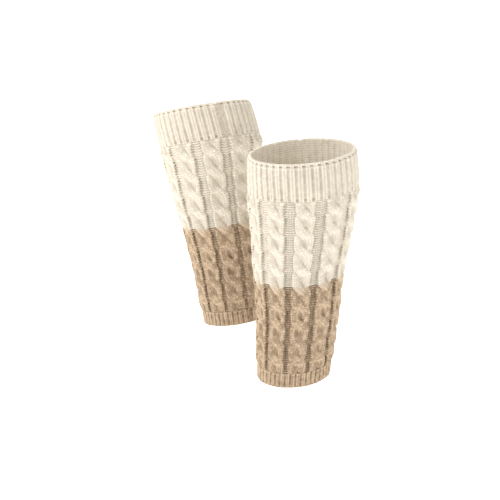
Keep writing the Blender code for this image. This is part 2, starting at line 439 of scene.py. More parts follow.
def stitch_tree():
    """Raises each stitch of a grid: V-shaped legs on knit wales and waves on purl wales."""
    plan, given = geometry_tree("raise_stitches", {
        "Knit height": "Float", "Purl height": "Float", "Pit depth": "Float",
        "Unevenness": "Float", "Seed": "Int"})
    wale = attribute(plan, "wale").fraction()
    course = attribute(plan, "course").fraction()
    purl = attribute(plan, "purl")
    relief = attribute(plan, "relief")
    pit = attribute(plan, "pit")
    across = course.arch() ** 0.6
    leg = wale.wave().math("ABSOLUTE")
    middle = wale.arch() ** 8
    knit = (leg * 0.8 + middle * 0.3 + 0.1) * across * given.out("Knit height")
    bump = (wale.arch() * 0.45 + 0.55) * across * given.out("Purl height")
    noise = plan.node("ShaderNodeTexNoise", {"noise_dimensions": "4D"}, {
        "Scale": 260.0, "Detail": 1.0, "W": given.out("Seed") * 3.7})
    uneven = (noise.out(0) - 0.5) * 2.0 * given.out("Unevenness")
    raised = knit * (1 - purl) + bump * purl + uneven
    sunk = pit * (1 - across) * given.out("Pit depth")
    height = raised * relief - sunk
    normal = plan.node("GeometryNodeInputNormal").out()
    offset = plan.node("ShaderNodeVectorMath", {"operation": "SCALE"}, {
        0: normal, "Scale": height}).out()
    moved = plan.node("GeometryNodeSetPosition", inputs={
        "Geometry": given.out("Geometry"), "Offset": offset}).out()
    return close_tree(plan, given, moved)


def loop_tree():
    """Sets a small bent piece of yarn on every point of a path, facing out of the cloth."""
    plan, given = geometry_tree("loops_on_path", {
        "Loop radius": "Float", "Yarn radius": "Float", "Sweep": "Float", "Start": "Float",
        "Slant": "Float", "Unevenness": "Float", "Seed": "Int"})
    arc = plan.node("GeometryNodeCurveArc", {"mode": "RADIUS"}, {
        "Resolution": 7, "Radius": given.out("Loop radius"), "Start Angle": given.out("Start"),
        "Sweep Angle": given.out("Sweep")}).out("Curve")
    yarn = plan.node("GeometryNodeCurvePrimitiveCircle", inputs={
        "Resolution": 6, "Radius": given.out("Yarn radius")}).out("Curve")
    loop = plan.node("GeometryNodeCurveToMesh", inputs={
        "Curve": arc, "Profile Curve": yarn, "Fill Caps": True}).out()
    loop = plan.node("GeometryNodeSetShadeSmooth", inputs={0: loop}).out()
    turned = plan.node("FunctionNodeAxesToRotation", {
        "primary_axis": "X", "secondary_axis": "Y"}, {
        "Primary Axis": vector_attribute(plan, "facing"),
        "Secondary Axis": vector_attribute(plan, "up")}).out()
    chance = plan.node("FunctionNodeRandomValue", {"data_type": "FLOAT"}, {
        "Min": -1.0, "Max": 1.0, "Seed": given.out("Seed")}).out(1)
    lean = given.out("Slant") + chance * given.out("Unevenness")
    leaning = plan.node("FunctionNodeAxisAngleToRotation", inputs={
        "Axis": (1.0, 0.0, 0.0), "Angle": lean}).out()
    turned = plan.node("FunctionNodeRotateRotation", {"rotation_space": "LOCAL"}, {
        "Rotation": turned, "Rotate By": leaning}).out()
    points = plan.node("GeometryNodeMeshToPoints", inputs={0: given.out("Geometry")}).out()
    placed = plan.node("GeometryNodeInstanceOnPoints", inputs={
        "Points": points, "Instance": loop, "Rotation": turned,
        "Scale": chance * given.out("Unevenness") * 0.5 + 1.0}).out()
    return close_tree(plan, given, placed)


def vector_attribute(plan, name):
    return plan.node(
        "GeometryNodeInputNamedAttribute", {"data_type": "FLOAT_VECTOR"}, {"Name": name}
    ).out("Attribute")


def fuzz_tree():
    """Scatters loose tapered fibres over a surface."""
    plan, given = geometry_tree("loose_fibres", {
        "Density": "Float", "Length": "Float", "Radius": "Float", "Seed": "Int"})
    spread = plan.node("GeometryNodeDistributePointsOnFaces", inputs={
        "Mesh": given.out("Geometry"), "Density": given.out("Density"),
        "Seed": given.out("Seed")})
    bend = plan.node("GeometryNodeCurveQuadraticBezier", inputs={
        "Resolution": 2, "Start": (0.0, 0.0, -0.1), "Middle": (0.0, 0.0, 0.55),
        "End": (0.5, 0.0, 0.8)}).out()
    along = plan.node("GeometryNodeSplineParameter").out("Factor")
    taper = 1.0 - along * 0.85
    bend = plan.node("GeometryNodeSetCurveRadius", inputs={
        "Curve": bend, "Radius": taper}).out()
    thread = given.out("Radius") / given.out("Length")
    round_profile = plan.node("GeometryNodeCurvePrimitiveCircle", inputs={
        "Resolution": 3, "Radius": thread}).out("Curve")
    fibre = plan.node("GeometryNodeCurveToMesh", inputs={
        "Curve": bend, "Profile Curve": round_profile, "Scale": taper}).out()
    tilt = plan.node("FunctionNodeRandomValue", {"data_type": "FLOAT_VECTOR"}, {
        0: (-1.0, -1.0, -3.1416), 1: (1.0, 1.0, 3.1416), "Seed": given.out("Seed")}).out(0)
    turned = plan.node("FunctionNodeRotateRotation", {"rotation_space": "LOCAL"}, {
        "Rotation": spread.out("Rotation"),
        "Rotate By": plan.node("FunctionNodeEulerToRotation", inputs={0: tilt}).out()}).out()
    size = plan.node("FunctionNodeRandomValue", {"data_type": "FLOAT"}, {
        "Min": 0.45, "Max": 1.0, "Seed": given.out("Seed") + 1.0}).out(1)
    placed = plan.node("GeometryNodeInstanceOnPoints", inputs={
        "Points": spread.out("Points"), "Instance": fibre, "Rotation": turned,
        "Scale": size * given.out("Length")}).out()
    return close_tree(plan, given, placed)


# Shape of the tubes

def smooth(share):
    """An S-curve from 0 to 1."""
    share = np.clip(share, 0.0, 1.0)
    return share * share * (3 - 2 * share)


def section_at(down):
    """The sizes of the tube at these levels, on the same curve as the CAD part's."""
    down = np.asarray(down, float)
    levels = SECTIONS[:, 0]
    below = np.searchsorted(levels, np.maximum(down, 0.0), side="right") - 1
    below = np.clip(below, 0, len(levels) - 2)
    a, b, c, d = (SECTIONS[np.clip(below + k, 0, len(levels) - 1)] for k in (-1, 0, 1, 2))
    span = (c - b)[..., :1]
    t = (down[..., None] - b[..., :1]) / span
    slope_b = (c - a) / np.maximum((c - a)[..., :1], span) * span
    slope_c = (d - b) / np.maximum((d - b)[..., :1], span) * span
    row = (
        (2 * t**3 - 3 * t**2 + 1) * b
        + (t**3 - 2 * t**2 + t) * slope_b
        + (3 * t**2 - 2 * t**3) * c
        + (t**3 - t**2) * slope_c
    )
    return Section(*np.moveaxis(row, -1, 0))


def from_seam(cuff, turn):
    """The turn measured from the cuff's seam, from -pi to pi."""
    seam = (cuff.seam_cable + 0.5) * REPEAT_ANGLE
    return (turn - seam + math.pi) % (2 * math.pi) - math.pi


def wobble(turn, down, seed, count=9):
    """Smooth unevenness round and down the tube, about -1 to 1."""
    chance = np.random.default_rng(seed)
    total = 0.0
    for _ in range(count):
        around = int(chance.integers(1, 12))
        along = chance.uniform(-0.09, 0.09)
        total = total + np.sin(around * turn + along * down + chance.uniform(0, 2 * math.pi))
    return total / math.sqrt(count)


def trough_depth(cuff, down, turn):
    """How far the soft troughs press the cloth in."""
    depth = 0.0
    for trough in TROUGHS[cuff.name]:
        away = np.degrees(turn + math.radians(cuff.turn)) - trough.turn
        away = (away + 180.0) % 360.0 - 180.0
        lower = down - trough.down - trough.slant * away
        reach = (lower / trough.reach_down) ** 2 + (away / trough.reach_round) ** 2
        depth = depth + trough.depth * np.exp(-reach)
    return depth


def place(cuff, down, turn, lift):
    """Points of a cuff in the frame, in metres, as the CAD part places them."""
    down, turn, lift = np.broadcast_arrays(
        np.asarray(down, float), np.asarray(turn, float), np.asarray(lift, float))
    near = np.exp(-(((down - COLOUR_CHANGE) / COLOUR_DIP_REACH) ** 2))
    lift = lift - trough_depth(cuff, down, turn) + 0.35 * wobble(turn, down, cuff.seed)
    down = down + COLOUR_DIP * near * np.cos(REPEATS * turn)
    turn = turn + math.radians(cuff.turn)
    section = section_at(down)
    across, along = np.sin(turn), -np.cos(turn)
    normal_x, normal_y = section.half_depth * across, section.half_width * along
    size = np.hypot(normal_x, normal_y)
    x = section.half_width * across + lift * normal_x / size
    y = section.half_depth * along + lift * normal_y / size
    mouth_rise = cuff.mouth_rise * smooth(1 - down / MOUTH_RISE_REACH)
    z = cuff.rise_back * x - mouth_rise * y - down * cuff.draw
    points = np.stack((section.centre_x + x, y, z), -1)
    lean = Euler((math.radians(cuff.lean_x), math.radians(cuff.lean_y), 0.0)).to_matrix()
    return (points @ np.array(lean).T + np.array(cuff.place)) * MM


def course_at(down):
    return (down - FIRST_CROSSING) / COURSE


def seam_valley(cuff, turn):
    """1 in the flat strip that lies beside the seam."""
    away = from_seam(cuff, turn) / RIB_ANGLE
    return np.exp(-(((away - SEAM_STRIP) / 0.52) ** 4))


def from_valley(turn):
    """How far it is to the nearest valley between two ribs, from 0 to 0.5."""
    share = (turn / RIB_ANGLE + 0.5 * RIBS_PER_REPEAT) % 1.0
    return np.minimum(share, 1 - share)


def rib_side(turn):
    """0 in the valleys between ribs and 1 on the ribs."""
    return smooth((from_valley(turn) - RIB_FLOOR) / (RIB_RISE - RIB_FLOOR))


def wale_crease(turn):
    """1 in the crease between the two knit wales of a rib."""
    return np.exp(-(((0.5 - from_valley(turn)) / 0.05) ** 2))


def rib_lift(cuff, turn):
    """The lift of the ribs off the ground of the wall, with the seam in its sunken wale."""
    rib = RIB_RELIEF * rib_side(turn) - WALE_CREASE * wale_crease(turn)
    rib = rib * (1 - 0.92 * seam_valley(cuff, turn))
    away = np.abs(from_seam(cuff, turn)) / (0.5 * RIB_ANGLE)
    return np.maximum(rib, SEAM_RELIEF * np.maximum(0.0, 1 - away))


def crossing_phase(down):
    """From -0.5 to 0.5 through each crossing. Above the first one the strands run straight."""
    phase = (down - FIRST_CROSSING) / CROSSING_PITCH
    return np.where(phase < -0.5, -0.5, (phase + 0.5) % 1.0 - 0.5)


def crossing_number(down):
    return np.maximum(np.floor((down - FIRST_CROSSING) / CROSSING_PITCH + 0.5), 0.0)


def side_swing(phase):
    """From -1 to 1 through a crossing. The strands bow apart round each eye and cross fast."""
    fast = 2 * smooth(0.5 + 0.5 * phase / CROSSING_REACH) - 1
    return 0.5 * fast + 0.5 * np.sin(math.pi * phase)


def strand_half_width(phase):
    slant = np.cos(math.pi * phase) ** 2
    return STRAND_HALF_WIDTH * (1 + STRAND_SLANT * slant)


def cable_half(cuff, down):
    """Half the width of a cable, as a share of a repeat."""
    lower = smooth((down - COLOUR_CHANGE + 12.0) / 24.0)
    fuller = cuff.fuller_above + (cuff.fuller_below - cuff.fuller_above) * lower
    return section_at(down).cable * (1 + fuller)


def cable_spread(down):
    """How wide the two strands lie at this level, as a share of the cable's full width."""
    phase = crossing_phase(down)
    return STRAND_SWING * np.abs(side_swing(phase)) + strand_half_width(phase)


# Grids of stitches

def grid_piece(name, points, fields, purl_columns, sharp_rows, wrap_wales=None, caps=False):
    """A grid closed round its rows, and round its columns too where wrap_wales is given.

    points and each field have one entry for each row and column. purl_columns tells, for each
    strip of faces from one column to the next, whether it is purl. The cloth turns sharply at the
    sharp_rows.
    """
    rows, columns = points.shape[:2]
    ring = wrap_wales is not None
    fields = {key: np.broadcast_to(values, (rows, columns)) for key, values in fields.items()}
    index = np.arange(rows * columns).reshape(rows, columns)
    right = np.roll(index, -1, axis=1)
    upper, lower = (index, np.roll(index, -1, axis=0)) if ring else (index[:-1], index[1:])
    upper_right = right if ring else right[:-1]
    lower_right = np.roll(right, -1, axis=0) if ring else right[1:]
    faces = np.stack((upper, lower, lower_right, upper_right), -1).reshape(-1, 4).tolist()
    if caps:
        faces.append(index[0].tolist())
        faces.append(index[-1][::-1].tolist())
    mesh = bpy.data.meshes.new(name)
    mesh.from_pydata(points.reshape(-1, 3).tolist(), [], faces)
    for field, values in fields.items():
        stored = mesh.attributes.new(field, "FLOAT", "POINT")
        stored.data.foreach_set("value", np.asarray(values, np.float32).ravel())
    strips = len(upper)
    purl = np.zeros(len(faces), np.float32)
    purl[: strips * columns] = np.broadcast_to(purl_columns, (strips, columns)).ravel()
    stored = mesh.attributes.new("purl", "FLOAT", "FACE")
    stored.data.foreach_set("value", purl)
    stitch_map(mesh, fields["wale"], fields["course"], strips, ring, wrap_wales, len(faces))
    mesh.shade_smooth()
    ends = np.zeros(2 * len(mesh.edges), np.int32)
    mesh.edges.foreach_get("vertices", ends)
    first_row, last_row = (ends.reshape(-1, 2) // columns).T
    sharp = (first_row == last_row) & np.isin(first_row, sharp_rows)
    stored = mesh.attributes.new("sharp_edge", "BOOLEAN", "EDGE")
    stored.data.foreach_set("value", sharp)
    obj = bpy.data.objects.new(name, mesh)
    bpy.context.scene.collection.objects.link(obj)
    return obj


def stitch_map(mesh, wale, course, strips, ring, wrap_wales, face_count):
    """A UV map in wales and courses, which runs on past the last column and the last row."""
    right_wale = np.roll(wale, -1, axis=1)
    right_wale[:, -1] = wale[:, 0] + (wrap_wales or 0.0)
    if not ring:
        right_wale[:, -1] = wale[:, -1]
    right_course = np.roll(course, -1, axis=1)
    below = (lambda grid: np.roll(grid, -1, axis=0)) if ring else (lambda grid: grid[1:])
    cut = (lambda grid: grid) if ring else (lambda grid: grid[:-1])
    corners = np.stack((
        np.stack((cut(wale), cut(course)), -1),
        np.stack((below(wale), below(course)), -1),
        np.stack((below(right_wale), below(right_course)), -1),
        np.stack((cut(right_wale), cut(right_course)), -1),
    ), -2).reshape(-1, 2)
    uv = np.zeros((len(mesh.loops), 2), np.float32)
    uv[: len(corners)] = corners
    layer = mesh.uv_layers.new(name="stitches")
    layer.data.foreach_set("uv", uv.ravel())


def rib_columns():
    """Turns, wales and purl strips round a two-by-one rib, which starts in a sunken wale."""
    half = 0.5 * PURL_SHARE
    purl = np.arange(RIB_PURL_COLUMNS) / RIB_PURL_COLUMNS
    knit = np.arange(2 * KNIT_COLUMNS) / KNIT_COLUMNS
    share = np.concatenate((purl * PURL_SHARE - half, half + knit * (0.5 - half)))
    wale = np.concatenate((purl, 1 + knit))
    kind = np.concatenate((np.ones(len(purl)), np.zeros(len(knit))))
    rib = np.arange(RIBS)[:, None]
    turns = (rib - 0.5 * RIBS_PER_REPEAT + share) * RIB_ANGLE
    return turns.ravel(), (rib * 3 + wale).ravel(), np.tile(kind, RIBS)


def v_shift(wale, purl):
    """How much lower a course lies here than at the sides of its wale, in courses."""
    part = wale % 1.0
    knit = V_DEPTH * (1 - np.abs(2 * part - 1))
    wave = -PURL_WAVE * (1 - np.cos(2 * math.pi * part))
    return np.where(purl > 0.5, wave, knit)


def course_rows(start, end, rows):
    """Levels of a grid from start to end, in courses, that meet every crease between courses."""
    first, last = course_at(start), course_at(end)
    inner = np.arange(math.ceil(first * rows + 0.3), math.floor(last * rows - 0.3) + 1) / rows
    return np.concatenate(([first], inner, [last]))


def from_ends(levels, reach, free=""):
    """0 at the ends of a zone and 1 from this many courses on. A free end keeps its 1."""
    start = 1.0 if free == "start" else smooth((levels - levels[0]) / reach)
    end = 1.0 if free == "end" else smooth((levels[-1] - levels) / reach)
    return start * end


def settled_shift(levels, shift, free=""):
    """Lets the V shape die out at the ends of a zone, so that its first and last rows are level.
    At the free end the next yarn goes on with the same stitches."""
    return from_ends(levels, 1.5, free)[:, None] * shift[None, :]


def join_fields(parts):
    return {key: np.concatenate([part[key] for part in parts]) for key in parts[0]}


def wall_piece(name, cuff, outer, start, end, turns, wale, purl, rim, sharp):
    """A closed wall from its outer rows to a plain inside with wider courses."""
    sharp_rows = [len(outer["down"]) - 1 if "end" in sharp else -1, 0 if "start" in sharp else -1]
    outer = {key: np.broadcast_to(grid, outer["down"].shape) for key, grid in outer.items()}
    inner_levels = course_rows(start, end, 1)[::-1][::2]
    if inner_levels[-1] != course_at(start):
        inner_levels = np.append(inner_levels, course_at(start))
    inner_down = FIRST_CROSSING + inner_levels * COURSE
    shape = (len(inner_down), len(turns))
    inside_lift = INSIDE_RIDGE * np.where(np.roll(purl, 1) + purl > 0.5, -1.0, 1.0)
    inside = {
        "down": np.broadcast_to(inner_down[:, None], shape),
        "turn": np.broadcast_to(turns[None, :], shape),
        "lift": np.broadcast_to(inside_lift[None, :], shape),
        "wale": np.broadcast_to(wale[None, :], shape),
        "course": np.broadcast_to(inner_levels[:, None], shape),
        "relief": np.zeros(shape),
        "pit": np.zeros(shape),
        # Painted shade: the inside is a little darker
        "shade": np.full(shape, 0.9),
    }
    low_rim, top_rim = rim
    whole = join_fields([outer, *low_rim, inside, *top_rim])
    points = place(cuff, whole.pop("down"), whole.pop("turn"), whole.pop("lift"))
    kinds = np.tile(purl, (len(points), 1))
    first = len(outer["down"]) + len(low_rim)
    kinds[first : first + len(inner_down)] = 1 - purl
    wrap_wales = wale[-1] + (wale[1] - wale[0])
    sharp_rows = [row for row in sharp_rows if row >= 0]
    return grid_piece(name, points, whole, kinds, sharp_rows, wrap_wales)


def flat_rim(down, turns, wale, lift, course):
    """Rows of a plain edge, from the lifts given."""
    rows = []
    for one in lift:
        shape = (1, len(turns))
        rows.append({
            "down": np.broadcast_to(np.asarray(down, float), shape),
            "turn": np.broadcast_to(turns[None, :], shape),
            "lift": np.full(shape, one),
            "wale": np.broadcast_to(wale[None, :], shape),
            "course": np.full(shape, course),
            "relief": np.zeros(shape),
            "pit": np.zeros(shape),
            # Painted shade: the plain edge rows are a little darker
            "shade": np.full(shape, 0.8),
        })
    return rows


def rib_rows(cuff, levels, turns, wale, purl, shift):
    """The outside of a ribbed wall."""
    down = FIRST_CROSSING + (levels[:, None] + settled_shift(levels, shift)) * COURSE
    turn = np.broadcast_to(turns[None, :], down.shape)
    lift = WALL + rib_lift(cuff, turn)
    # Painted shade: darker in the valleys between ribs, in the crease between the two knit wales and in
    # the flat strip beside the seam
    lit_rib_side = 0.14 + 0.86 * rib_side(turn) * (1 - 0.45 * wale_crease(turn))
    return {
        "down": down,
        "turn": turn,
        "lift": lift,
        "wale": np.broadcast_to(wale[None, :], down.shape),
        "course": np.broadcast_to(levels[:, None], down.shape),
        "relief": np.ones(down.shape),
        "pit": np.zeros(down.shape),
        "shade": lit_rib_side * (1 - 0.55 * seam_valley(cuff, turn)),
    }


def build_band(cuff):
    """The ribbed band, with a groove of small holes under its cast-on edge."""
    turns, wale, purl = rib_columns()
    levels = course_rows(EDGE_START, BAND_END, ROWS)
    outer = rib_rows(cuff, levels, turns, wale, purl, v_shift(wale, purl))
    notch = np.where(np.abs(from_seam(cuff, turns)) < 0.25 * RIB_ANGLE, SEAM_NOTCH, 0.0)
    valley = 1 - rib_side(turns)[None, :]
    down = outer["down"]
    hole = np.exp(-(((down - 3.6) / 1.0) ** 2)) * valley
    bar = np.exp(-(((down - 5.4) / 0.8) ** 2)) * valley
    end = np.exp(-(((down - BAND_END + 2.0) / 1.2) ** 2)) * valley
    outer["lift"] = outer["lift"] - 1.0 * hole + 0.8 * bar - 0.8 * end
    # Painted shade in the holes under the edge and in the valleys where the ribs end, and a painted
    # highlight on the raised bar between the holes
    outer["shade"] = (outer["shade"] + 0.6 * bar) * (1 - hole) * (1 - 0.85 * end)
    outer["pit"] = np.maximum(hole, 0.5 * end)
    over_gap = smooth((np.abs(turns / REPEAT_ANGLE % 1.0 - 0.5) - 0.12) / 0.06)
    fade = (1 - over_gap) * smooth((down - BAND_END + 7) / 7)
    start = smooth((down - EDGE_START) / 1.8)
    outer["lift"] = WALL + (outer["lift"] - WALL) * (1 - 0.8 * fade) * (0.35 + 0.65 * start)
    top = outer["course"][0, 0]
    edge = []
    for angle in np.radians((180, 130, 90, 50, 15, -20)):
        lift = 0.5 * WALL + (0.5 * WALL + 0.2) * math.cos(angle)
        down = 1.3 - 1.2 * math.sin(angle)
        edge += flat_rim(down + notch[None, :], turns, wale, [lift], top - 0.5)
    low = flat_rim(BAND_END, turns, wale, [WALL - 0.4, 0.6], outer["course"][-1, 0])
    return wall_piece(
        f"{cuff.name}_band_knit", cuff, outer, EDGE_CORD + 1.0, BAND_END, turns, wale, purl,
        (low, edge), ("end",))


def build_hem(cuff):
    """The plain ribbed end."""
    turns, wale, purl = rib_columns()
    start = CABLES_END + 0.15
    levels = course_rows(start, CUFF_LENGTH - 1.2, ROWS)
    outer = rib_rows(cuff, levels, turns, wale, purl, v_shift(wale, purl))
    low = []
    for angle in np.radians((20, 65, 115, 160)):
        lift = 1.6 + 1.7 * math.cos(angle)
        down = CUFF_LENGTH - 1.2 + 1.2 * math.sin(angle)
        low += flat_rim(down, turns, wale, [lift], outer["course"][-1, 0])
    top = flat_rim(start, turns, wale, [0.6, WALL - 0.4], outer["course"][0, 0])
    return wall_piece(
        f"{cuff.name}_hem_knit", cuff, outer, start, CUFF_LENGTH - 1.2, turns, wale, purl,
        (low, top), ("start",))


GROUND_COLUMNS = 4
INSIDE_RIDGE = 0.35


def build_body_wall(cuff, zone, start, end):
    """The purl gaps between cables, on a ground that runs on under the cables."""
    levels = course_rows(start, end, GAP_ROWS)
    gap = np.arange(GAP_WALES * PURL_COLUMNS + 1) / (GAP_WALES * PURL_COLUMNS)
    ground = np.linspace(-1, 1, GROUND_COLUMNS + 2)[1:-1]
    repeat = np.arange(REPEATS)[:, None]
    wale_under = (repeat * REPEAT_WALES + 4 + 4 * ground[None, :])
    wale_gap = repeat * REPEAT_WALES + 8 + GAP_WALES * gap[None, :]
    wale = np.concatenate((wale_under, wale_gap), 1).ravel()
    kind = np.concatenate((np.zeros(GROUND_COLUMNS), np.ones(len(gap) - 1), [0.0]))
    purl = np.tile(kind, REPEATS)
    bowed = GAP_CHEVRON * np.tile(
        np.concatenate((np.zeros(GROUND_COLUMNS), 1 - np.abs(2 * gap - 1))), REPEATS)
    shift = bowed + np.where(purl > 0.5, v_shift(wale, purl), 0.0)
    free = "end" if end == COLOUR_CHANGE else "start"
    down = FIRST_CROSSING + (levels[:, None] + settled_shift(levels, shift, free)) * COURSE
    half = cable_half(cuff, down) * cable_spread(down)
    columns = np.tile(np.concatenate((ground, gap)), REPEATS)[None, :]
    in_gap = np.tile(np.concatenate((np.zeros(GROUND_COLUMNS), np.ones(len(gap)))), REPEATS)
    centre = np.repeat(np.arange(REPEATS), GROUND_COLUMNS + len(gap))[None, :]
    turn = np.where(in_gap > 0.5, centre + half + columns * (1 - 2 * half), centre + columns * half)
    turn = turn * REPEAT_ANGLE
    flank = np.where(in_gap > 0.5, np.minimum(columns, 1 - columns), 0.0)
    rise = smooth(flank / 0.2)
    seam = np.maximum(0.0, 1 - np.abs(from_seam(cuff, turn)) / (0.5 * RIB_ANGLE))
    lift = WALL + 0.2 + FLANK_RISE * (1 - rise) + 0.6 * SEAM_RELIEF * seam
    lift = np.where(in_gap > 0.5, lift, WALL - 1.2)
    # The pits sink the holes and also carry painted shade into them
    pit = cuff.gap_pit + (1 - cuff.gap_pit) * np.exp(-(((flank - 0.1) / 0.12) ** 2))
    pit = np.where(in_gap > 0.5, pit, 0.0) * np.ones(down.shape)
    outer = {
        "down": down,
        "turn": turn,
        "lift": lift,
        "wale": np.broadcast_to(wale[None, :], down.shape),
        "course": np.broadcast_to(levels[:, None], down.shape),
        "relief": np.where(in_gap > 0.5, 1.0, 0.3) * np.ones(down.shape),
        "pit": pit,
        "shade": np.ones(down.shape),
    }
    plain = np.where(
        in_gap > 0.5, centre[0] + 0.36 + columns[0] * 0.28, centre[0] + columns[0] * 0.36)
    low = flat_rim(end, plain * REPEAT_ANGLE, wale, [0.5], levels[-1])
    top = flat_rim(start, plain * REPEAT_ANGLE, wale, [0.5], levels[0])
    return wall_piece(
        f"{cuff.name}_{zone}_knit", cuff, outer, start, end, plain * REPEAT_ANGLE, wale, purl,
        (low, top), ("start", "end"))


def strand_path(levels, which):
    """The middle line of a strand: its phase, side-swing and whether it passes over."""
    down = FIRST_CROSSING + levels * COURSE
    phase = crossing_phase(down)
    over = (crossing_number(down) + which) % 2 < 0.5
    swing = STRAND_SWING * side_swing(phase) * np.where(over, 1.0, -1.0)
    return down, phase, over, swing


def strand_top(down, phase, over, across, half_width):
    """The height of a strand's crest, across the cable. An under strand dips deep before the edge
    that it goes under, and less where it comes out again."""
    middle = STRAND_SWING * side_swing(phase)
    beside = np.abs(across - middle[:, None]) - strand_half_width(phase)[:, None]
    depth = EMERGE + (DIVE - EMERGE) * smooth(0.5 - phase / 0.3)
    depth = depth * smooth((0.46 - np.abs(phase)) / 0.12)
    dip = depth[:, None] * np.exp(-((np.maximum(beside, 0.0) * half_width / DIP_WIDTH) ** 2))
    lifted = OVER_LIFT * np.cos(math.pi * phase)
    top = CABLE_RELIEF + np.where(over[:, None], lifted[:, None], -dip)
    ends = smooth((down - BAND_END) / CABLE_RAMP) * smooth((CABLES_END - down) / CABLE_RAMP)
    low = RIB_RELIEF / CABLE_RELIEF
    return top * (low + (1 - low) * ends)[:, None]


def strand_profile(side, phase, swing):
    """The height across a strand, as a share of its crest. Beside the other strand, the crest lies
    outwards and the inner side falls softly to the middle of the eye."""
    outward = side[None, :] * np.where(swing < 0, -1.0, 1.0)[:, None]
    even = (1 - np.abs(outward) ** STRAND_ROUNDNESS) ** STRAND_FULLNESS
    past = np.clip((outward - STRAND_CREST) / (1 - STRAND_CREST), 0.0, 1.0)
    outer = (1 - past**STRAND_ROUNDNESS) ** STRAND_FULLNESS
    inner = np.clip((STRAND_CREST - outward) / (1 + STRAND_CREST), 0.0, 1.0)
    apart = smooth(np.abs(side_swing(phase)))[:, None]
    return even + apart * (outer - EYE_FALL * inner**1.15 - even)


def build_strand(cuff, name, cable, which, start, end):
    """One strand of a cable as a closed cord of four knit wales."""
    # How dark the painted shade gets low in the eyes, above and below the colour change
    darkest = 0.45 if end <= COLOUR_CHANGE else 0.38
    levels = course_rows(start, end, ROWS)
    down, phase, over, swing = strand_path(levels, which)
    section = section_at(down)
    half = cable_half(cuff, down) * REPEAT_ANGLE
    reach = strand_half_width(phase) * half
    girth = 0.5 * (section.half_width + section.half_depth)
    slope = np.gradient(swing * half * girth, down)
    count = STRAND_WALES * KNIT_COLUMNS
    side = np.linspace(-1, 1, count + 1)
    wale = (side + 1) * 0.5 * STRAND_WALES + (0 if which == 0 else STRAND_WALES)
    wale = wale - (1e-4 * (side == 1)) + (1e-4 * (side == -1))
    shift = v_shift(wale, np.zeros(len(wale)))
    free = "end" if end == CABLE_COLOUR_CHANGE else "start"
    ends = from_ends(levels, 1.5, free)
    lean = np.arctan(slope)[:, None]
    across = side[None, :] * (reach * girth)[:, None]
    along = shift[None, :] * COURSE * ends[:, None]
    low = along * np.cos(lean) - across * np.sin(lean) * COURSE_TILT * ends[:, None]
    shares = swing[:, None] + side[None, :] * (reach / half)[:, None]
    half_width = float(np.mean(half * girth))
    top = strand_top(down, phase, over, shares, half_width)
    lift = WALL + STRAND_FOOT + (top - STRAND_FOOT) * strand_profile(side, phase, swing)
    turn = cable * REPEAT_ANGLE + (swing * half)[:, None] + side[None, :] * reach[:, None]
    turn = turn + along * np.sin(lean) / girth[:, None]
    levels_grid = np.broadcast_to(levels[:, None], turn.shape)
    edge = 1 - np.abs(side) ** 3
    low_side = np.where(np.abs(side) > 0.99, 0.2, 1.0)[None, :]
    # Painted shade: darker low in the eyes, in the creases along the strands' edges and where the under
    # strand dives beside the over one
    inside = 0.2 + 0.8 * smooth((0.9 - np.abs(shares)) / 0.25)
    crease = smooth((np.where(side > 0, side + 0.08, -side) - 0.84) / 0.1)[None, :]
    crease = crease * smooth((0.88 - np.abs(shares)) / 0.1)
    beside = np.abs(shares - STRAND_SWING * side_swing(phase)[:, None])
    beside = np.maximum(beside - strand_half_width(phase)[:, None], 0.0) * half_width
    diving = smooth((0.08 - phase) / 0.16) * smooth((0.46 - np.abs(phase)) / 0.1) * (1 - over)
    strength = np.where(over[:, None] & (side > 0)[None, :], 1.0, 0.25)
    crease = (1 - strength * crease) * (1 - 0.85 * diving[:, None] * np.exp(-((beside / 1.8) ** 2)))
    fields = {
        "wale": np.broadcast_to(wale[None, :], turn.shape),
        "course": levels_grid,
        "relief": np.broadcast_to(smooth(edge / 0.5)[None, :], turn.shape),
        "pit": from_ends(levels, 0.5, free)[:, None] * smooth((np.abs(shares) - 0.84) / 0.1) * low_side,
        "shade": 0.85 * crease * (1 - inside * (1 - darkest) * (1 - smooth((lift - WALL + 0.4) / 4.0))),
    }
    points = place(cuff, down[:, None] + low, turn, lift)
    purl = np.zeros(points.shape[1])
    return grid_piece(name, points, fields, purl, [0, len(points) - 1], caps=True)


def build_cables(cuff, zone, start, end):
    """Every strand of a zone, joined to one piece."""
    strands = [
        build_strand(cuff, f"strand_{cable}_{which}", cable, which, start, end)
        for cable in range(REPEATS)
        for which in (0, 1)
    ]
    return joined(strands, f"{cuff.name}_{zone}_cables")


def joined(objects, name):
    """Several objects as one."""
    first = objects[0]
    with bpy.context.temp_override(active_object=first, selected_editable_objects=objects):
        bpy.ops.object.join()
    first.name = name
    first.data.name = name
    return first


# Materials

